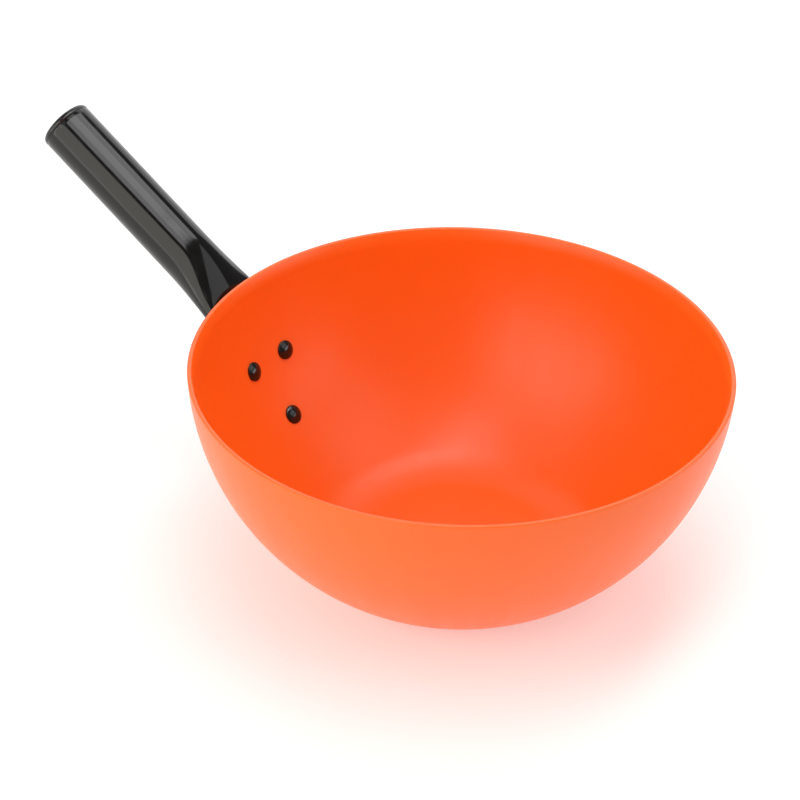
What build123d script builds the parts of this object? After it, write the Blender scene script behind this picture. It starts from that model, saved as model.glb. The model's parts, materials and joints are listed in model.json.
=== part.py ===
from build123d import *
import os
from math import asin, cos, degrees, pi, radians, sin, sqrt

# A beach sand scoop: a round-bottomed plastic bowl with a pipe handle. The lower end of the pipe is
# pressed flat, lies against the outside of the bowl and is held by three snap rivets.
# Sizes are in millimetres. The origin is the centre of the bowl's flat base, +Z is up, and the
# handle leaves along -X.

# --- Bowl ---
RIM_DIAMETER = 250.0
BOWL_HEIGHT = 106.0
BASE_DIAMETER = 116.0
BOWL_WALL = 3.2
FLOOR_THICKNESS = 3.0
RIM_LAND = 2.0
RIM_BEVEL_HEIGHT = 5.0
RIM_EDGE_RADIUS = 0.6
BASE_EDGE_RADIUS = 44.0
FLOOR_EDGE_RADIUS = 42.0

# --- Handle: a plastic pressure pipe ---
PIPE_DIAMETER = 26.7
PIPE_WALL = 2.9
GRIP_ANGLE = 32.3
GRIP_LENGTH = 112.0
BEND_RADIUS = 50.0
PRESS_RUN_IN = 26.0
FOOT_MARGIN = 7.0
FOOT_TIP_MARGIN = 9.5
PRESS_STATIONS = 9
HOLLOW_STATIONS = 7

# --- End plug ---
PLUG_LIP = 2.2
PLUG_DOME = 2.8
PLUG_EDGE_RADIUS = 2.0
SPIGOT_LENGTH = 20.0
SPIGOT_WALL = 2.0
SPIGOT_CLEARANCE = 0.25
SPIGOT_RIBS = 3
SPIGOT_RIB_PITCH = 5.0
SPIGOT_RIB_WIDTH = 1.6
SEAM_CHAMFER = 0.4

# --- Snap rivets: a hollow cap put in from inside the bowl, and a pin pressed in from outside ---
RIVET_SPACING = 24.6
UPPER_RIVET_DEPTH = 42.1
LOWER_RIVET_DEPTH = 68.1
RIVET_HEAD_DIAMETER = 9.4
RIVET_HEAD_HEIGHT = 2.4
RIVET_LIP = 0.7
RIVET_SHANK_DIAMETER = 5.0
RIVET_HOLE_CLEARANCE = 0.1
PIN_DIAMETER = 3.0
PIN_CLEARANCE = 0.05
PIN_TIP_GAP = 1.2
SHANK_END_GAP = 0.2

# The bowl's outer wall is part of a sphere through the rim and the edge of the flat base.
rim_radius = RIM_DIAMETER / 2
base_radius = BASE_DIAMETER / 2
centre_z = (rim_radius**2 + BOWL_HEIGHT**2 - base_radius**2) / (2 * BOWL_HEIGHT)
outer_radius = sqrt(base_radius**2 + centre_z**2)
inner_radius = outer_radius - BOWL_WALL
sphere_centre = Vector(0, 0, centre_z)

# The pressed foot is two pipe walls thick and follows the sphere.
foot_inner_radius = outer_radius
foot_middle_radius = outer_radius + PIPE_WALL
foot_outer_radius = outer_radius + 2 * PIPE_WALL


def wall_slope(depth):
    """Angle below the sphere's equator of a point on the inside wall, this far below the rim."""
    return asin((centre_z - BOWL_HEIGHT + depth) / inner_radius)


def in_handle_plane(distance, angle):
    """A point in the handle's upright plane, from the sphere's centre, at an angle above level."""
    return sphere_centre + Vector(-distance * cos(angle), 0, distance * sin(angle))


foot_start = (FOOT_MARGIN / foot_middle_radius) - wall_slope(UPPER_RIVET_DEPTH)
foot_end = -wall_slope(LOWER_RIVET_DEPTH) - FOOT_TIP_MARGIN / foot_middle_radius
bend_turn = pi / 2 + foot_start - radians(GRIP_ANGLE)
press_length = PRESS_RUN_IN + BEND_RADIUS * bend_turn
bend_centre = in_handle_plane(foot_middle_radius + BEND_RADIUS, foot_start)


# --- Bowl ---


def rivet_planes():
    """One plane per rivet, at the sphere's centre, with its normal out through the wall."""
    places = {
        "left": (-RIVET_SPACING / 2, UPPER_RIVET_DEPTH),
        "right": (RIVET_SPACING / 2, UPPER_RIVET_DEPTH),
        "lower": (0.0, LOWER_RIVET_DEPTH),
    }
    planes = {}
    for name, (across, depth) in places.items():
        drop = inner_radius * sin(wall_slope(depth))
        out = sqrt(inner_radius**2 - drop**2 - across**2)
        planes[name] = Plane(origin=sphere_centre, x_dir=(0, 1, 0), z_dir=(-out, across, -drop))
    return planes


def drill(solid):
    """The solid with a clearance hole for each rivet's shank."""
    hole_radius = RIVET_SHANK_DIAMETER / 2 + RIVET_HOLE_CLEARANCE
    for plane in rivet_planes().values():
        hole = Cylinder(hole_radius, foot_outer_radius * 2, align=(Align.CENTER, Align.CENTER, Align.MIN))
        solid = solid - plane * hole
    return solid


def make_bowl():
    bevel_z = BOWL_HEIGHT - RIM_BEVEL_HEIGHT
    bevel_foot = (sqrt(inner_radius**2 - (centre_z - bevel_z) ** 2), bevel_z)
    floor_edge = (sqrt(inner_radius**2 - (centre_z - FLOOR_THICKNESS) ** 2), FLOOR_THICKNESS)
    base_edge = (base_radius, 0)
    rim_out = (rim_radius, BOWL_HEIGHT)
    rim_in = (rim_radius - RIM_LAND, BOWL_HEIGHT)
    halfway = (asin(base_radius / outer_radius) + pi / 2) / 2

    def on_wall(radius):
        return (radius * sin(halfway), centre_z - radius * cos(halfway))

    with BuildPart() as bowl:
        with BuildSketch(Plane.XZ) as section:
            with BuildLine():
                Line((0, 0), base_edge)
                ThreePointArc(base_edge, on_wall(outer_radius), rim_out)
                Polyline(rim_out, rim_in, bevel_foot)
                ThreePointArc(bevel_foot, on_wall(inner_radius), floor_edge)
                Polyline(floor_edge, (0, FLOOR_THICKNESS), (0, 0))
            make_face()
            rounded = {
                base_edge: BASE_EDGE_RADIUS,
                rim_out: RIM_EDGE_RADIUS,
                rim_in: RIM_EDGE_RADIUS,
                floor_edge: FLOOR_EDGE_RADIUS,
            }
            for corner, radius in rounded.items():
                fillet(section.vertices().sort_by_distance(corner + (0,))[0], radius)
        revolve(axis=Axis.Z)
    return drill(bowl.part)


# --- Handle ---


def pipe_station(along):
    """Plane across the pipe, this far from where pressing starts towards the foot.

    Its x runs across the handle, its y faces away from the bowl and its z back up the handle.
    """
    bent = max(0.0, along - PRESS_RUN_IN) / BEND_RADIUS
    facing = foot_start - (bend_turn - bent)
    outward = Vector(-cos(facing), 0, sin(facing))
    up_handle = Vector(sin(facing), 0, cos(facing))
    origin = bend_centre - outward * BEND_RADIUS
    origin = origin + up_handle * max(0.0, PRESS_RUN_IN - along)
    return Plane(origin=origin, x_dir=(0, 1, 0), z_dir=up_handle)


def pipe_section(pressed, inset):
    """Outline of the pipe, from round at pressed = 0 to flat at 1, this far inside its surface.

    It keeps the pipe's girth: each quarter is half of a flat, then half of a rounded side. At 1 the
    flats follow the bowl.
    """
    quarter = pi * PIPE_DIAMETER / 4
    flat = quarter / 2 + pressed * (quarter - pi * PIPE_WALL / 2 - quarter / 2)
    turn = flat * (1 - pressed) / (PIPE_DIAMETER / 2)
    side_radius = (quarter - flat) / (pi / 2 - turn)
    flat_radius = flat / turn if turn else None
    corner_x = flat_radius * sin(turn) if turn else flat
    crown = flat_radius * (1 - cos(turn)) if turn else 0.0
    corner_y = side_radius * cos(turn)
    width = corner_x + side_radius * (1 - sin(turn))

    def wrapped(x, y):
        bend = pressed**4 / foot_middle_radius
        if not bend:
            return (x, y)
        return ((1 / bend + y) * sin(x * bend), (1 / bend + y) * cos(x * bend) - 1 / bend)

    corner = (corner_x - inset * sin(turn), corner_y - inset * cos(turn))
    top = corner_y + crown - inset
    side = width - inset
    with BuildSketch() as section:
        with BuildLine():
            for face in (1, -1):
                ends = [wrapped(x, face * corner[1]) for x in (-corner[0], corner[0])]
                ThreePointArc(ends[0], wrapped(0, face * top), ends[1])
            for hand in (1, -1):
                ends = [wrapped(hand * corner[0], y) for y in (-corner[1], corner[1])]
                ThreePointArc(ends[0], wrapped(hand * side, 0), ends[1])
        make_face()
    return section.sketch


def pressed_length(inset, last):
    """The stretch of pipe that goes from round to pressed, or the hollow inside it."""
    sections = []
    for station in range(last + 1):
        share = station / PRESS_STATIONS
        pressed = 1 - (1 - share) ** 3 * (1 + 3 * share)
        sections.append(pipe_station(share * press_length) * pipe_section(pressed, inset))
    return loft(sections)


def make_foot():
    """The flat end: the pressed outline carried down the bowl, then cut to a round tip."""
    start = pipe_station(press_length) * pipe_section(1, 0)
    across = Axis(sphere_centre, (0, -1, 0))
    spare = PIPE_WALL / foot_middle_radius
    foot = revolve(start, axis=across, revolution_arc=degrees(foot_start - foot_end + spare))
    half_width = start.bounding_box().size.Y / 2
    tip_centre = foot_end + half_width / foot_middle_radius
    normal = in_handle_plane(1, tip_centre) - sphere_centre
    tip = Plane(origin=sphere_centre, x_dir=(0, 1, 0), z_dir=normal)
    above_tip = Pos(0, -foot_outer_radius) * Rectangle(2 * half_width, 2 * foot_outer_radius)
    outline = tip * (Circle(half_width) + above_tip)
    return foot & extrude(outline, foot_outer_radius * 2)


def make_handle_tube():
    grip = pipe_station(0)
    straight = GRIP_LENGTH - PRESS_RUN_IN
    mouth = chamfer(extrude(Circle(PIPE_DIAMETER / 2), straight).edges().sort_by(Axis.Z)[-1], SEAM_CHAMFER)
    outside = grip * mouth + pressed_length(0, PRESS_STATIONS) + make_foot()
    bore = grip * extrude(Circle(PIPE_DIAMETER / 2 - PIPE_WALL), straight)
    hollow = bore + pressed_length(PIPE_WALL, HOLLOW_STATIONS)
    return drill(outside - hollow)


def make_end_plug():
    """Push-in plug: a rounded head as wide as the pipe, and a hollow ribbed spigot in its bore."""
    head_radius = PIPE_DIAMETER / 2
    bore_radius = head_radius - PIPE_WALL
    spigot_radius = bore_radius - SPIGOT_CLEARANCE
    dome_radius = (head_radius**2 + PLUG_DOME**2) / (2 * PLUG_DOME)
    apex = PLUG_LIP + PLUG_DOME
    half_angle = asin(head_radius / dome_radius) / 2
    on_dome = (dome_radius * sin(half_angle), apex - dome_radius * (1 - cos(half_angle)))
    lip_top = (head_radius, PLUG_LIP)
    lip_foot = (head_radius, 0)

    with BuildPart() as plug:
        with BuildSketch(Plane.XZ) as section:
            with BuildLine():
                ThreePointArc((0, apex), on_dome, lip_top)
                Polyline(lip_top, lip_foot, (spigot_radius, 0), (spigot_radius, -SPIGOT_LENGTH))
                Line((spigot_radius, -SPIGOT_LENGTH), (spigot_radius - SPIGOT_WALL, -SPIGOT_LENGTH))
                Line((spigot_radius - SPIGOT_WALL, -SPIGOT_LENGTH), (spigot_radius - SPIGOT_WALL, 0))
                Polyline((spigot_radius - SPIGOT_WALL, 0), (0, 0), (0, apex))
            make_face()
            fillet(section.vertices().sort_by_distance(lip_top + (0,))[0], PLUG_EDGE_RADIUS)
            chamfer(section.vertices().sort_by_distance(lip_foot + (0,))[0], SEAM_CHAMFER)
        revolve(axis=Axis.Z)
        for rib in range(SPIGOT_RIBS):
            with Locations((0, 0, -SPIGOT_RIB_PITCH * (rib + 1))):
                Cylinder(bore_radius, SPIGOT_RIB_WIDTH)
                Cylinder(spigot_radius - SPIGOT_WALL, SPIGOT_RIB_WIDTH, mode=Mode.SUBTRACT)
    pipe_end = pipe_station(PRESS_RUN_IN - GRIP_LENGTH)
    return pipe_end * plug.part


# --- Rivets, drawn along Z with the sphere's centre at the origin ---


def rivet_head(seat_radius, side):
    """A domed head whose underside fits a sphere of this radius; side is +1 outside it, -1 inside."""
    head_radius = RIVET_HEAD_DIAMETER / 2
    half_angle = asin(head_radius / seat_radius) / 2
    seat_edge = (head_radius, seat_radius * cos(2 * half_angle))
    on_seat = (seat_radius * sin(half_angle), seat_radius * cos(half_angle))
    lip = (head_radius, seat_edge[1] + side * RIVET_LIP)
    apex = (0, seat_radius + side * RIVET_HEAD_HEIGHT)
    rise = abs(apex[1] - lip[1])
    dome_radius = (head_radius**2 + rise**2) / (2 * rise)
    dome_angle = asin(head_radius / dome_radius) / 2
    on_dome = (dome_radius * sin(dome_angle), apex[1] - side * dome_radius * (1 - cos(dome_angle)))
    with BuildSketch(Plane.XZ) as section:
        with BuildLine():
            ThreePointArc((0, seat_radius), on_seat, seat_edge)
            Line(seat_edge, lip)
            ThreePointArc(lip, on_dome, apex)
            Line(apex, (0, seat_radius))
        make_face()
    return revolve(section.sketch, axis=Axis.Z)


def between(radius, low, high):
    """A round bar along Z from low to high."""
    return Pos(0, 0, low) * Cylinder(radius, high - low, align=(Align.CENTER, Align.CENTER, Align.MIN))


def make_rivet_cap():
    """Head inside the bowl, and a hollow shank through the wall and the foot."""
    sunk = RIVET_LIP / 2
    shank_end = foot_outer_radius - SHANK_END_GAP
    shank = between(RIVET_SHANK_DIAMETER / 2, inner_radius - sunk, shank_end)
    hollow = between(PIN_DIAMETER / 2 + PIN_CLEARANCE, inner_radius, shank_end)
    return rivet_head(inner_radius, -1) + shank - hollow


def make_rivet_pin():
    """Head outside the foot, and a plain pin that spreads the cap's shank."""
    sunk = RIVET_LIP / 2
    pin = between(PIN_DIAMETER / 2, inner_radius + PIN_TIP_GAP, foot_outer_radius + sunk)
    pin = chamfer(pin.edges().sort_by(Axis.Z)[0], PIN_DIAMETER / 8)
    return rivet_head(foot_outer_radius, 1) + pin


# --- Write one file per piece ---

parts = {
    "bowl": make_bowl(),
    "handle_tube": make_handle_tube(),
    "end_plug": make_end_plug(),
}
for name, plane in rivet_planes().items():
    parts[f"rivet_cap_{name}"] = plane * make_rivet_cap()
    parts[f"rivet_pin_{name}"] = plane * make_rivet_pin()

os.makedirs("parts", exist_ok=True)
for name, shape in parts.items():
    export_step(shape, f"parts/{name}.step")
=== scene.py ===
import json
from math import acos, asin, cos, pi, radians, sin, sqrt

import bpy
from mathutils import Matrix, Vector, noise
from mathutils.kdtree import KDTree


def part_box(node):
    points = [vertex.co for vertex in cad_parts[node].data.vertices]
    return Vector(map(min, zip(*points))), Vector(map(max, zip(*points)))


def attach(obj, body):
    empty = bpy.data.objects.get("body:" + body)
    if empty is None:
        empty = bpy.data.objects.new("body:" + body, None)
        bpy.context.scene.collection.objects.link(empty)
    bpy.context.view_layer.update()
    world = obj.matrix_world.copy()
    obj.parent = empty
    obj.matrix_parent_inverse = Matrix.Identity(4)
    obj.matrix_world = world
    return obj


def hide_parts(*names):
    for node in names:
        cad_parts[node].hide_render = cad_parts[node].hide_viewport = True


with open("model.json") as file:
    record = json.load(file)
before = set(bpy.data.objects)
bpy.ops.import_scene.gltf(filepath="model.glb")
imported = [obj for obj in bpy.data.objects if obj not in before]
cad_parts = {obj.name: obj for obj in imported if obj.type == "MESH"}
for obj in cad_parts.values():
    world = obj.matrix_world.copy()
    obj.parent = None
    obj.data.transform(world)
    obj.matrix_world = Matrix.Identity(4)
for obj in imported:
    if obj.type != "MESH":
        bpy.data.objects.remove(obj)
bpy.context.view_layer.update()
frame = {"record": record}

# A beach sand scoop: a bright moulded bowl on the end of a black pipe, which is pressed flat where
# it lies against the bowl and held by three snap rivets. +Z is up and the handle leaves along -X.

MM = 0.001
MERGE_DISTANCE = 0.001 * MM
SAME_PLACE = 0.01 * MM
SMOOTH_ANGLE = radians(32)

# --- Bowl ---
RIM_RADIUS = 125 * MM
BASE_RADIUS = 58 * MM
BOWL_WALL = 3.2 * MM
FLOOR_HEIGHT = 3 * MM
RIM_LAND = 2 * MM
RIM_BEVEL_HEIGHT = 5 * MM
RIM_EDGE_RADIUS = 0.6 * MM
BASE_EDGE_RADIUS = 44 * MM
FLOOR_RING_RADIUS = 68 * MM
FLOOR_CREASE = radians(3.4)
GATE_RADIUS = 6 * MM
GATE_DEPTH = 0.8 * MM
GATE_STUB_RADIUS = 1.4 * MM
GATE_STUB_HEIGHT = 0.45 * MM
BOWL_STEPS = 288
WALL_ARC_STEPS = 52
FLOOR_ARC_STEPS = 16
RIM_EDGE_STEPS = 4

# --- Handle ---
PIPE_WALL = 2.9 * MM
GRIP_LENGTH = 112 * MM
BEND_RADIUS = 50 * MM
PRESS_RUN_IN = 26 * MM
FOOT_TIP_MARGIN = 9.5 * MM
FOOT_SEAM = 0.2 * MM
MOUTH_CHAMFER = 0.4 * MM
MOUTH_CHAMFER_STEPS = 2
CUT_EDGE_RADIUS = 0.4 * MM
CUT_EDGE_STEPS = 3
RIPPLE_DEPTH = 0.04 * MM
RIPPLE_LENGTH = 11 * MM
PIPE_STEPS = 96
FOOT_ROWS = 30
PRESS_ROWS = 40
GRIP_ROWS = 36

# --- End plug ---
PLUG_LIP = 2.2 * MM
PLUG_DOME = 2.8 * MM
PLUG_EDGE_RADIUS = 2 * MM
SPIGOT_LENGTH = 20 * MM
SPIGOT_WALL = 2 * MM
SPIGOT_CLEARANCE = 0.25 * MM
SPIGOT_RIBS = 3
SPIGOT_RIB_PITCH = 5 * MM
SPIGOT_RIB_WIDTH = 1.6 * MM
PLUG_STEPS = 96
PLUG_EDGE_STEPS = 10

# --- Rivets ---
RIVET_HEAD_RADIUS = 4.7 * MM
RIVET_HEAD_HEIGHT = 2.4 * MM
RIVET_LIP = 0.7 * MM
RIVET_LIP_RADIUS = 0.25 * MM
SHANK_RADIUS = 2.5 * MM
SHANK_END_GAP = 0.2 * MM
SHANK_CHAMFER = 0.3 * MM
HOLE_CLEARANCE = 0.1 * MM
PIN_RADIUS = 1.5 * MM
PIN_CLEARANCE = 0.05 * MM
PIN_TIP_GAP = 1.2 * MM
PIN_CHAMFER = 0.4 * MM
RIVET_STEPS = 64
RIVET_LIP_STEPS = 3
HOLE_STEPS = 32
DOME_STEPS = 12

# --- Sizes and places that the frame gives ---
mounts = {mount["name"]: mount for mount in frame["record"]["mounts"]}
pipe_radius = mounts["grip"]["dims"]["r_mm"] * MM
grip_half_length = mounts["grip"]["dims"]["length_mm"] * MM / 2
up_handle = Vector(mounts["grip"]["axis"])
away_from_bowl = Vector((-up_handle.z, 0, up_handle.x))
rim_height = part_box("bowl")[1].z

# The bowl's outside is part of a sphere through the rim and the edge of the base.
sphere_height = (RIM_RADIUS**2 + rim_height**2 - BASE_RADIUS**2) / (2 * rim_height)
outer_radius = sqrt(BASE_RADIUS**2 + sphere_height**2)
inner_radius = outer_radius - BOWL_WALL
sphere_centre = Vector((0, 0, sphere_height))
foot_middle_radius = outer_radius + PIPE_WALL
foot_outer_radius = outer_radius + 2 * PIPE_WALL


# --- Making pieces ---


def pick(piece):
    """Leaves this piece alone selected and active."""
    bpy.ops.object.select_all(action="DESELECT")
    bpy.context.view_layer.objects.active = piece
    piece.select_set(True)


def name_piece(name):
    """Names the mesh that an operator has just added, and settles its place into its points."""
    piece = bpy.context.object
    piece.name = piece.data.name = name
    bpy.ops.object.transform_apply(location=True, rotation=True, scale=True)
    return piece


def apply_modifier(piece, kind, **settings):
    """Gives a piece a modifier with these settings and applies it."""
    pick(piece)
    modifier = piece.modifiers.new(kind, kind)
    for name, value in settings.items():
        setattr(modifier, name, value)
    bpy.ops.object.modifier_apply(modifier=modifier.name)


def arc(centre, radius, start, end, steps):
    """Points round part of a circle in an outline, both ends included."""
    angles = [start + (end - start) * step / steps for step in range(steps + 1)]
    return [(centre[0] + radius * cos(angle), centre[1] + radius * sin(angle)) for angle in angles]


def turn_outline(name, outline, steps):
    """A piece turned about Z: a point is drawn out along a (radius, height) outline, which is spun."""
    bpy.ops.object.select_all(action="DESELECT")
    bpy.ops.mesh.primitive_plane_add(size=MM, location=(outline[0][0], 0, outline[0][1]))
    piece = name_piece(name)
    bpy.ops.object.mode_set(mode="EDIT")
    bpy.ops.mesh.select_mode(type="VERT")
    bpy.ops.mesh.merge(type="CENTER")
    for (radius, height), (next_radius, next_height) in zip(outline, outline[1:]):
        step = (next_radius - radius, 0, next_height - height)
        bpy.ops.mesh.extrude_region_move(TRANSFORM_OT_translate={"value": step})
    bpy.ops.mesh.select_all(action="SELECT")
    bpy.ops.mesh.spin(steps=steps, angle=2 * pi, center=(0, 0, 0), axis=(0, 0, 1))
    bpy.ops.mesh.select_all(action="SELECT")
    bpy.ops.mesh.remove_doubles(threshold=MERGE_DISTANCE)
    bpy.ops.mesh.normals_make_consistent(inside=False)
    bpy.ops.object.mode_set(mode="OBJECT")
    return piece


def bevel_edges(piece, width, segments, wanted):
    """Rounds the edges whose two end points both pass the test."""
    pick(piece)
    bpy.ops.object.mode_set(mode="EDIT")
    bpy.ops.mesh.select_mode(type="EDGE")
    bpy.ops.mesh.select_all(action="DESELECT")
    bpy.ops.object.mode_set(mode="OBJECT")
    passed = [wanted(point.co) for point in piece.data.vertices]
    for edge in piece.data.edges:
        edge.select = all(passed[end] for end in edge.vertices)
    bpy.ops.object.mode_set(mode="EDIT")
    bpy.ops.mesh.bevel(offset=width, segments=segments, affect="EDGES")
    bpy.ops.object.mode_set(mode="OBJECT")


def on_ring(radius, height):
    """A test for points that lie on this circle about Z."""

    def wanted(place):
        off_radius = abs(place.to_2d().length - radius)
        return off_radius < SAME_PLACE and abs(place.z - height) < SAME_PLACE

    return wanted


def finish_piece(piece, node, material):
    """Shades a piece, gives it its material and puts it in the CAD node's place."""
    pick(piece)
    bpy.ops.object.shade_smooth_by_angle(angle=SMOOTH_ANGLE)
    piece.data.materials.clear()
    piece.data.materials.append(material)
    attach(piece, "root")
    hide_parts(node)


# --- Rivet places ---


def rivet_place(name):
    """From a rivet drawn along Z, with the sphere's centre at the origin, to where it sits.

    A rivet's two heads are alike, so the middle of the box round both is on its axis.
    """
    boxes = [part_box(f"rivet_{half}_{name}") for half in ("cap", "pin")]
    low = [min(box[0][side] for box in boxes) for side in range(3)]
    high = [max(box[1][side] for box in boxes) for side in range(3)]
    outward = (Vector(low) + Vector(high)) / 2 - sphere_centre
    turned = outward.to_track_quat("Z", "Y").to_matrix().to_4x4()
    return Matrix.Translation(sphere_centre) @ turned


rivet_places = {name: rivet_place(name) for name in ("left", "right", "lower")}


def drill_rivet_holes(piece):
    """Cuts a clearance hole for each rivet's shank."""
    for place in rivet_places.values():
        bpy.ops.object.select_all(action="DESELECT")
        bpy.ops.mesh.primitive_cylinder_add(
            vertices=HOLE_STEPS,
            radius=SHANK_RADIUS + HOLE_CLEARANCE,
            depth=8 * PIPE_WALL,
            location=(0, 0, foot_middle_radius),
        )
        drill = name_piece("drill")
        drill.data.transform(place)
        apply_modifier(piece, "BOOLEAN", operation="DIFFERENCE", solver="EXACT", object=drill)
        bpy.data.objects.remove(drill)


# --- Bowl ---


def make_bowl():
    """One moulding with an even wall and a flat base. Its floor meets the wall in a faint crease."""
    base_turn = outer_radius - BASE_EDGE_RADIUS
    base_arc_end = -asin((sphere_height - BASE_EDGE_RADIUS) / base_turn)
    base_arc_centre = (base_turn * cos(base_arc_end), BASE_EDGE_RADIUS)
    rim_angle = asin((rim_height - sphere_height) / outer_radius)
    bevel_angle = asin((rim_height - RIM_BEVEL_HEIGHT - sphere_height) / inner_radius)
    ring_angle = -acos(FLOOR_RING_RADIUS / inner_radius)
    ring_slope = pi / 2 + ring_angle - FLOOR_CREASE
    ring_height = sphere_height + inner_radius * sin(ring_angle)
    floor_turn = (ring_height - FLOOR_HEIGHT) / (1 - cos(ring_slope))
    floor_edge = FLOOR_RING_RADIUS - floor_turn * sin(ring_slope)
    sphere = (0, sphere_height)
    rim_corner = (RIM_RADIUS, rim_height)
    land_corner = (RIM_RADIUS - RIM_LAND, rim_height)
    stub_height = GATE_DEPTH - GATE_STUB_HEIGHT

    gate = [(0, stub_height), (GATE_STUB_RADIUS, stub_height), (GATE_STUB_RADIUS, GATE_DEPTH)]
    gate += [(GATE_RADIUS, GATE_DEPTH), (GATE_RADIUS + GATE_DEPTH, 0)]
    outside = arc(base_arc_centre, BASE_EDGE_RADIUS, -pi / 2, base_arc_end, FLOOR_ARC_STEPS)
    outside += arc(sphere, outer_radius, base_arc_end, rim_angle, WALL_ARC_STEPS)[1:-1]
    inside = arc(sphere, inner_radius, bevel_angle, ring_angle, WALL_ARC_STEPS)
    floor_arc_centre = (floor_edge, FLOOR_HEIGHT + floor_turn)
    inside += arc(floor_arc_centre, floor_turn, ring_slope - pi / 2, -pi / 2, FLOOR_ARC_STEPS)[1:]
    floor = [(floor_edge / 2, FLOOR_HEIGHT), (0, FLOOR_HEIGHT)]

    rim = [rim_corner, land_corner]
    bowl = turn_outline("moulded_bowl", gate + outside + rim + inside + floor, BOWL_STEPS)
    for corner in (rim_corner, land_corner):
        bevel_edges(bowl, RIM_EDGE_RADIUS, RIM_EDGE_STEPS, on_ring(*corner))
    drill_rivet_holes(bowl)
    return bowl


# --- Handle ---

grip_low_end = Vector(mounts["grip"]["pos_m"]) - up_handle * grip_half_length
bend_start = grip_low_end - up_handle * PRESS_RUN_IN
bend_centre = bend_start + away_from_bowl * BEND_RADIUS
foot_start = asin((bend_centre.z - sphere_height) / (bend_centre - sphere_centre).length)
bend_turn = pi / 2 + foot_start - asin(up_handle.z)
lower_rivet_axis = rivet_places["lower"].to_3x3() @ Vector((0, 0, 1))
foot_end = asin(lower_rivet_axis.z) - FOOT_TIP_MARGIN / foot_middle_radius

straight_length = GRIP_LENGTH - PRESS_RUN_IN
press_length = PRESS_RUN_IN + BEND_RADIUS * bend_turn
foot_length = (foot_start - foot_end) * foot_middle_radius
quarter_girth = pi * pipe_radius / 2
foot_flat = quarter_girth - pi * PIPE_WALL / 2
foot_half_width = foot_flat + PIPE_WALL

# Below these a flat or a hug is too slight to work out, and makes no difference.
LEAST_TURN = 1e-4
LEAST_HUG = 0.01


def pressed_place(from_crown, pressed, inset):
    """Where a point of the pipe's section goes, from round at pressed = 0 to flat at 1.

    The point is this angle round from the crown and this far inside the surface. The girth stays the
    same: each quarter becomes half of a flat, then half of a rounded side.
    """
    girth = from_crown * pipe_radius
    flat = quarter_girth / 2 + pressed * (foot_flat - quarter_girth / 2)
    turn = max(flat * (1 - pressed) / pipe_radius, LEAST_TURN)
    side_radius = (quarter_girth - flat) / (pi / 2 - turn)
    crown_radius = flat / turn
    if girth < flat:
        lean = girth / crown_radius
        across = crown_radius * sin(lean)
        away = side_radius * cos(turn) + crown_radius * (cos(lean) - cos(turn))
    else:
        lean = turn + (girth - flat) / side_radius
        across = crown_radius * sin(turn) + side_radius * (sin(lean) - sin(turn))
        away = side_radius * cos(lean)
    return across - inset * sin(lean), away - inset * cos(lean)


def formed(place):
    """Where pressing and bending put a point of the straight pipe, which stands on its foot's tip."""
    along = press_length + foot_length - place.z
    radius = place.to_2d().length
    inset = pipe_radius - radius
    if inset < PIPE_WALL / 2:
        inset -= RIPPLE_DEPTH * (noise.noise(place / RIPPLE_LENGTH) - 1) / 2
    share = min(max(along / press_length, 0), 1)
    pressed = 1 - (1 - share) ** 3 * (1 + 3 * share)
    across, away = pressed_place(acos(min(abs(place.y) / radius, 1)), pressed, inset)
    across = across if place.x > 0 else -across
    away = away if place.y > 0 else -away

    down_foot = max(along - press_length, 0) / foot_length
    tip_reach = sqrt(max(foot_half_width**2 - across**2, 0))
    down_foot *= foot_length - foot_half_width + tip_reach
    if pressed > LEAST_HUG:
        hug = pressed**4 / foot_middle_radius
        hug_radius = 1 / hug + away
        away = hug_radius * cos(across * hug) - 1 / hug
        across = hug_radius * sin(across * hug)

    bent = max(0, min(along, press_length) - PRESS_RUN_IN) / BEND_RADIUS
    facing = foot_start - (bend_turn - bent)
    outward = Vector((-cos(facing), 0, sin(facing)))
    backward = Vector((sin(facing), 0, cos(facing)))
    middle = bend_centre - outward * BEND_RADIUS + backward * max(0, PRESS_RUN_IN - along)
    shaped = middle + outward * away + Vector((0, across, 0))
    swing = Matrix.Rotation(-down_foot / foot_middle_radius, 3, "Y")
    return sphere_centre + swing @ (shaped - sphere_centre)


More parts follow.
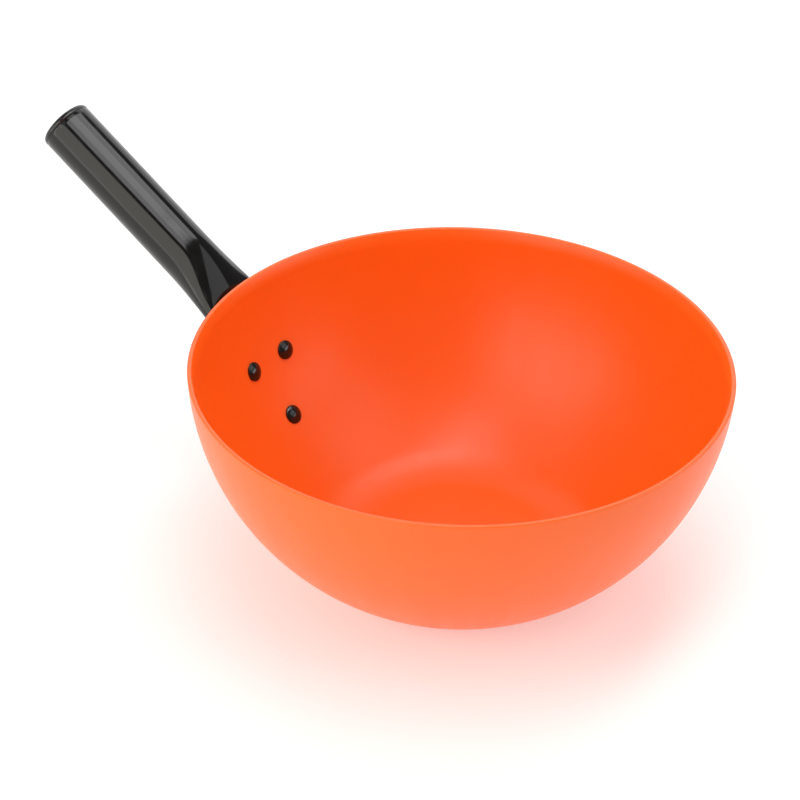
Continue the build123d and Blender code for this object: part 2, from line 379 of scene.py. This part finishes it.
def make_handle_pipe():
    """A straight length of pipe, drawn up in rows and given its wall, then pressed flat and bent."""
    bpy.ops.object.select_all(action="DESELECT")
    bpy.ops.mesh.primitive_circle_add(vertices=PIPE_STEPS, radius=pipe_radius)
    pipe = name_piece("heat_formed_pipe")
    bpy.ops.object.mode_set(mode="EDIT")
    stretches = ((foot_length, FOOT_ROWS), (press_length, PRESS_ROWS), (straight_length, GRIP_ROWS))
    for length, rows in stretches:
        for _ in range(rows):
            bpy.ops.mesh.extrude_region_move(TRANSFORM_OT_translate={"value": (0, 0, length / rows)})
    bpy.ops.mesh.select_all(action="SELECT")
    bpy.ops.mesh.normals_make_consistent(inside=False)
    bpy.ops.object.mode_set(mode="OBJECT")
    apply_modifier(pipe, "SOLIDIFY", thickness=PIPE_WALL - FOOT_SEAM / 2, offset=-1)
    mouth = foot_length + press_length + straight_length
    bevel_edges(pipe, MOUTH_CHAMFER, MOUTH_CHAMFER_STEPS, on_ring(pipe_radius, mouth))
    bevel_edges(pipe, CUT_EDGE_RADIUS, CUT_EDGE_STEPS, on_ring(pipe_radius, 0))
    straight_places = [point.co.copy() for point in pipe.data.vertices]
    nearest = KDTree(len(straight_places))
    for number, point in enumerate(pipe.data.vertices):
        point.co = formed(point.co)
        nearest.insert(point.co, number)
    nearest.balance()
    drill_rivet_holes(pipe)
    straight = pipe.data.attributes.new("straight_pipe", "FLOAT_VECTOR", "POINT")
    for point, kept in zip(pipe.data.vertices, straight.data):
        kept.vector = straight_places[nearest.find(point.co)[1]]
    return pipe


# --- End plug ---


def make_end_plug():
    """A push-in plug: a rounded head as wide as the pipe, and a hollow ribbed spigot in its bore."""
    bore_radius = pipe_radius - PIPE_WALL
    spigot_radius = bore_radius - SPIGOT_CLEARANCE
    spigot_bore = spigot_radius - SPIGOT_WALL
    dome_turn = (pipe_radius**2 + PLUG_DOME**2) / (2 * PLUG_DOME)
    dome_centre = (0, PLUG_LIP + PLUG_DOME - dome_turn)
    edge_out = pipe_radius - PLUG_EDGE_RADIUS
    edge_angle = acos(edge_out / (dome_turn - PLUG_EDGE_RADIUS))
    edge_centre = (edge_out, dome_centre[1] + (dome_turn - PLUG_EDGE_RADIUS) * sin(edge_angle))

    outline = arc(dome_centre, dome_turn, pi / 2, edge_angle, DOME_STEPS)
    outline += arc(edge_centre, PLUG_EDGE_RADIUS, edge_angle, 0, PLUG_EDGE_STEPS)[1:]
    outline += [(pipe_radius, MOUTH_CHAMFER), (pipe_radius - MOUTH_CHAMFER, 0), (spigot_radius, 0)]
    for rib in range(1, SPIGOT_RIBS + 1):
        middle = -SPIGOT_RIB_PITCH * rib
        outline += [(spigot_radius, middle + SPIGOT_RIB_WIDTH / 2), (bore_radius, middle)]
        outline.append((spigot_radius, middle - SPIGOT_RIB_WIDTH / 2))
    outline += [(spigot_radius, -SPIGOT_LENGTH), (spigot_bore, -SPIGOT_LENGTH), (spigot_bore, 0), (0, 0)]
    plug = turn_outline("push_in_plug", outline, PLUG_STEPS)
    pipe_end = bend_start + up_handle * GRIP_LENGTH
    turned = Matrix((Vector((0, 1, 0)), away_from_bowl, up_handle)).transposed().to_4x4()
    plug.data.transform(Matrix.Translation(pipe_end) @ turned)
    return plug


# --- Rivets ---


def head_outline(seat_radius, side):
    """From the crown of a domed head to the edge of its seat. Side is +1 outside the seat, -1 inside."""
    seat_edge = sqrt(seat_radius**2 - RIVET_HEAD_RADIUS**2)
    lip_height = seat_edge + side * RIVET_LIP
    crown = seat_radius + side * RIVET_HEAD_HEIGHT
    rise = abs(crown - lip_height)
    dome_turn = (RIVET_HEAD_RADIUS**2 + rise**2) / (2 * rise)
    dome_end = asin(RIVET_HEAD_RADIUS / dome_turn)
    centre = (0, crown - side * dome_turn)
    dome = arc(centre, dome_turn, side * pi / 2, side * (pi / 2 - dome_end), DOME_STEPS)
    return dome + [(RIVET_HEAD_RADIUS, seat_edge)]


def make_rivet_cap(name):
    """Head inside the bowl, and a hollow shank through the wall and the foot."""
    bore = PIN_RADIUS + PIN_CLEARANCE
    end = foot_outer_radius - SHANK_END_GAP
    outline = head_outline(inner_radius, -1)
    lip = outline[-2]
    outline += [(SHANK_RADIUS, inner_radius), (SHANK_RADIUS, end - SHANK_CHAMFER)]
    outline += [(SHANK_RADIUS - SHANK_CHAMFER, end), (bore, end), (bore, inner_radius), (0, inner_radius)]
    cap = turn_outline(f"snap_cap_{name}", outline, RIVET_STEPS)
    bevel_edges(cap, RIVET_LIP_RADIUS, RIVET_LIP_STEPS, on_ring(*lip))
    cap.data.transform(rivet_places[name])
    return cap


def make_rivet_pin(name):
    """Head outside the foot, and the pin that spreads the cap's shank."""
    tip = inner_radius + PIN_TIP_GAP
    outline = head_outline(foot_outer_radius, 1)
    lip = outline[-2]
    outline += [(PIN_RADIUS, foot_outer_radius), (PIN_RADIUS, tip + PIN_CHAMFER)]
    outline += [(PIN_RADIUS - PIN_CHAMFER, tip), (0, tip)]
    pin = turn_outline(f"snap_pin_{name}", outline, RIVET_STEPS)
    bevel_edges(pin, RIVET_LIP_RADIUS, RIVET_LIP_STEPS, on_ring(*lip))
    pin.data.transform(rivet_places[name])
    return pin


# --- Materials ---

FLOW_MARK_WIDTH = 9 * MM
CLOUD_WIDTH = 45 * MM
SWELL_WIDTH = 16 * MM
SWELL_HEIGHT = 0.03 * MM
BOWL_GRAIN_WIDTH = 0.9 * MM
LIGHT_CARRY = 1.5 * MM
DIE_LINE_WIDTH = 0.8 * MM
DIE_LINE_HEIGHT = 0.0015 * MM
DIE_LINE_SQUEEZE = 0.02
SCUFF_WIDTH = 7 * MM
MOULD_GRAIN_WIDTH = 0.6 * MM
MOULD_PATCH_WIDTH = 4 * MM
GRAIN_HEIGHT = 0.003 * MM

def srgb(code):
    """A linear colour from a hex code such as ff5a20."""
    parts = [int(code[i : i + 2], 16) / 255 for i in (0, 2, 4)]
    return [p / 12.92 if p <= 0.04045 else ((p + 0.055) / 1.055) ** 2.4 for p in parts] + [1]


def add(tree, kind, inputs, **settings):
    """Adds a node. Each input takes a value or another node's output."""
    made = tree.nodes.new("ShaderNode" + kind)
    for name, value in settings.items():
        setattr(made, name, value)
    for name, value in inputs.items():
        if isinstance(value, bpy.types.NodeSocket):
            tree.links.new(value, made.inputs[name])
        else:
            made.inputs[name].default_value = value
    return made


def new_material(name):
    """An empty node material."""
    material = bpy.data.materials.new(name)
    material.use_nodes = True
    material.node_tree.nodes.clear()
    return material


def moulded_polypropylene():
    """Injection-moulded polypropylene with a bright pigment: a waxy gloss, a little light carried
    in the wall, and faint flow marks that run out from the gate in the middle of the base.
    Its grain is drawn coarser than the real one, so that it shows."""
    material = new_material("moulded_polypropylene_orange")
    tree = material.node_tree
    place = add(tree, "TexCoord", {}).outputs["Object"]
    level = add(tree, "VectorMath", {0: place, 1: (1, 1, 0)}, operation="MULTIPLY").outputs[0]
    spoke = add(tree, "VectorMath", {0: level}, operation="NORMALIZE").outputs[0]
    flow_marks = {"Vector": spoke, "Scale": RIM_RADIUS / FLOW_MARK_WIDTH, "Detail": 2}
    flow = add(tree, "TexNoise", flow_marks).outputs["Fac"]
    cloud = add(tree, "TexNoise", {"Vector": place, "Scale": 1 / CLOUD_WIDTH, "Detail": 2}).outputs["Fac"]
    colours = {"Factor": cloud, 6: srgb("fb6410"), 7: srgb("fc6813")}
    tint = add(tree, "Mix", colours, data_type="RGBA").outputs[2]
    span = {"Value": flow, "From Min": 0.3, "From Max": 0.7, "To Min": 0.33, "To Max": 0.38}
    gloss = add(tree, "MapRange", span).outputs[0]
    swell = add(tree, "TexNoise", {"Vector": place, "Scale": 1 / SWELL_WIDTH, "Detail": 1}).outputs["Fac"]
    bump = add(tree, "Bump", {"Height": swell, "Distance": SWELL_HEIGHT, "Strength": 1}).outputs[0]
    grain = add(
        tree, "TexNoise", {"Vector": place, "Scale": 1 / BOWL_GRAIN_WIDTH, "Detail": 3}
    ).outputs["Fac"]
    bump = add(tree, "Bump", {"Height": grain, "Distance": GRAIN_HEIGHT, "Normal": bump}).outputs[0]
    shader = add(
        tree,
        "BsdfPrincipled",
        {
            "Base Color": tint,
            "Roughness": gloss,
            "Normal": bump,
            "IOR": 1.49,
            "Subsurface Weight": 0.12,
            "Subsurface Radius": (1.0, 0.35, 0.1),
            "Subsurface Scale": LIGHT_CARRY,
        },
    )
    add(tree, "OutputMaterial", {"Surface": shader.outputs[0]})
    return material


def extruded_pipe():
    """Black extruded pressure pipe: glossy, with fine die lines along its length that stay with the
    wall where it was pressed and bent, and a few handling scuffs. Its IOR is a little under the
    plastic's usual 1.53, to keep the pipe as dark as it looks."""
    material = new_material("extruded_pipe_black")
    tree = material.node_tree
    straight = add(tree, "Attribute", {}, attribute_name="straight_pipe").outputs["Vector"]
    squeeze = {0: straight, 1: (1, 1, DIE_LINE_SQUEEZE)}
    drawn = add(tree, "VectorMath", squeeze, operation="MULTIPLY").outputs[0]
    lines = add(
        tree, "TexNoise", {"Vector": drawn, "Scale": 1 / DIE_LINE_WIDTH, "Detail": 3}
    ).outputs["Fac"]
    scuffs = add(
        tree, "TexNoise", {"Vector": straight, "Scale": 1 / SCUFF_WIDTH, "Detail": 6}
    ).outputs["Fac"]
    span = {"Value": scuffs, "From Min": 0.4, "From Max": 0.75, "To Min": 0.07, "To Max": 0.14}
    gloss = add(tree, "MapRange", span).outputs[0]
    colours = {"Factor": scuffs, 6: srgb("060505"), 7: srgb("0d0b0a")}
    tint = add(tree, "Mix", colours, data_type="RGBA").outputs[2]
    bump = add(tree, "Bump", {"Height": lines, "Distance": DIE_LINE_HEIGHT}).outputs[0]
    finish = {"Base Color": tint, "Roughness": gloss, "Normal": bump, "IOR": 1.46}
    shader = add(tree, "BsdfPrincipled", finish)
    add(tree, "OutputMaterial", {"Surface": shader.outputs[0]})
    return material


def moulded_black(name, gloss_low, gloss_high, ior):
    """A small black moulding: a tight gloss broken by a faint mould texture."""
    material = new_material(name)
    tree = material.node_tree
    place = add(tree, "TexCoord", {}).outputs["Object"]
    grain = add(
        tree, "TexNoise", {"Vector": place, "Scale": 1 / MOULD_GRAIN_WIDTH, "Detail": 3}
    ).outputs["Fac"]
    patch = add(
        tree, "TexNoise", {"Vector": place, "Scale": 1 / MOULD_PATCH_WIDTH, "Detail": 3}
    ).outputs["Fac"]
    gloss = add(tree, "MapRange", {"Value": patch, "To Min": gloss_low, "To Max": gloss_high}).outputs[0]
    colours = {"Factor": patch, 6: srgb("090808"), 7: srgb("110f0e")}
    tint = add(tree, "Mix", colours, data_type="RGBA").outputs[2]
    bump = add(tree, "Bump", {"Height": grain, "Distance": GRAIN_HEIGHT}).outputs[0]
    finish = {"Base Color": tint, "Roughness": gloss, "Normal": bump, "IOR": ior}
    shader = add(tree, "BsdfPrincipled", finish)
    add(tree, "OutputMaterial", {"Surface": shader.outputs[0]})
    return material


def matt_board():
    """The studio's matt white board, which glows a little so that shadows stay pale."""
    material = new_material("matt_white_board")
    tree = material.node_tree
    board = add(tree, "BsdfDiffuse", {"Color": srgb("e8e8e8")}).outputs[0]
    glow = add(tree, "Emission", {"Color": srgb(PLAIN_WHITE), "Strength": FLOOR_GLOW}).outputs[0]
    shader = add(tree, "AddShader", {0: board, 1: glow})
    add(tree, "OutputMaterial", {"Surface": shader.outputs[0]})
    return material


# --- Camera, floor and light ---

VIEW_TURN = radians(33.11)
VIEW_LIFT = radians(32.974)
VIEW_DISTANCE = 1096.75 * MM
VIEW_ROLL = radians(0.9223)
VIEW_AIM = Vector((-4.87 * MM, -41.53 * MM, rim_height))
LENS = 108
FILM = 36
NEAREST_SEEN = 0.05
FURTHEST_SEEN = 50
FLOOR_SIZE = 12
FLOOR_GLOW = 0.31
PLAIN_WHITE = "ffffff"
WARM_WHITE = "fffaee"
SURROUNDING_LIGHT = 0.2
SURROUNDING_SEEN = 1.0

# Each softbox: degrees round from the camera, distance out, height, height it faces, width, height
# and brightness against a white of 1.
SOFTBOXES = (
    ("right_panel", 85, 2.0, 0.5, 0.5, 1.4, 1.0, 2.7),
    ("left_panel", 275, 2.0, 0.5, 0.5, 1.4, 1.0, 1.1),
    ("back_panel", 180, 2.0, 0.75, 0.75, 2.6, 1.5, 1.2),
    ("back_left_panel", 230, 2.0, 0.6, 0.6, 1.8, 1.2, 0.5),
    ("high_back", 185, 1.2, 1.3, 0.05, 1.6, 0.8, 1.2),
    ("high_right", 80, 1.1, 1.2, 0.05, 1.2, 0.8, 1.0),
    ("high_left", 290, 1.1, 1.2, 0.05, 1.2, 0.8, 0.5),
    ("zenith", 0, 0.0, 1.7, 0.0, 0.9, 0.9, 1.4),
)


def towards(azimuth, lift):
    """A direction out from the object. Azimuth 0 is towards -Y, and it turns towards +X."""
    return Vector((sin(azimuth) * cos(lift), -cos(azimuth) * cos(lift), sin(lift)))


def make_camera():
    data = bpy.data.cameras.new("camera")
    data.lens = LENS
    data.sensor_width = FILM
    data.clip_start = NEAREST_SEEN
    data.clip_end = FURTHEST_SEEN
    camera = bpy.data.objects.new("camera", data)
    bpy.context.collection.objects.link(camera)
    camera.location = Vector((0, 0, rim_height)) + towards(VIEW_TURN, VIEW_LIFT) * VIEW_DISTANCE
    level = (VIEW_AIM - camera.location).to_track_quat("-Z", "Y").to_matrix()
    camera.rotation_euler = (level @ Matrix.Rotation(VIEW_ROLL, 3, "Z")).to_euler()
    bpy.context.scene.camera = camera


def make_floor():
    bpy.ops.object.select_all(action="DESELECT")
    bpy.ops.mesh.primitive_plane_add(size=FLOOR_SIZE)
    floor = name_piece("studio_floor")
    floor.data.materials.append(matt_board())


def add_softbox(name, centre, aim, width, height, brightness, colour):
    """A rectangular light with an even face, this bright against a white of 1."""
    data = bpy.data.lights.new(name, "AREA")
    data.shape = "RECTANGLE"
    data.size = width
    data.size_y = height
    data.energy = brightness * pi * width * height
    data.color = srgb(colour)[:3]
    light = bpy.data.objects.new(name, data)
    bpy.context.collection.objects.link(light)
    light.location = centre
    light.rotation_euler = (Vector(centre) - Vector(aim)).to_track_quat("Z", "Y").to_euler()
    light.visible_camera = False


def make_lights():
    for name, turn, distance, height, aim_height, width, tall, brightness in SOFTBOXES:
        centre = towards(VIEW_TURN + radians(turn), 0) * distance + Vector((0, 0, height))
        add_softbox(name, centre, (0, 0, aim_height), width, tall, brightness, PLAIN_WHITE)
    # These two lay the long bands of light on the handle.
    add_softbox("overhead_strip", (0.09, 0.1, 1.2), (0.09, 0.1, 0), 0.3, 1.64, 3.2, PLAIN_WHITE)
    add_softbox("front_panel", (-0.3, -1.0, 0.55), (-0.3, 0, 0.55), 1.2, 1.1, 2.1, WARM_WHITE)
    world = bpy.data.worlds.new("studio")
    bpy.context.scene.world = world
    world.use_nodes = True
    tree = world.node_tree
    tree.nodes.clear()
    seen = add(tree, "LightPath", {}).outputs["Is Camera Ray"]
    span = {"Value": seen, "To Min": SURROUNDING_LIGHT, "To Max": SURROUNDING_SEEN}
    strength = add(tree, "MapRange", span).outputs[0]
    back = add(tree, "Background", {"Color": srgb(PLAIN_WHITE), "Strength": strength})
    add(tree, "OutputWorld", {"Surface": back.outputs[0]})


make_camera()
make_floor()
make_lights()
bpy.context.scene.view_settings.view_transform = "Standard"

finish_piece(make_bowl(), "bowl", moulded_polypropylene())
finish_piece(make_handle_pipe(), "handle_tube", extruded_pipe())
plug_polyethylene = moulded_black("moulded_polyethylene_black", 0.12, 0.2, 1.51)
finish_piece(make_end_plug(), "end_plug", plug_polyethylene)
rivet_nylon = moulded_black("moulded_nylon_black", 0.1, 0.18, 1.53)
for rivet in rivet_places:
    finish_piece(make_rivet_cap(rivet), f"rivet_cap_{rivet}", rivet_nylon)
    finish_piece(make_rivet_pin(rivet), f"rivet_pin_{rivet}", rivet_nylon)
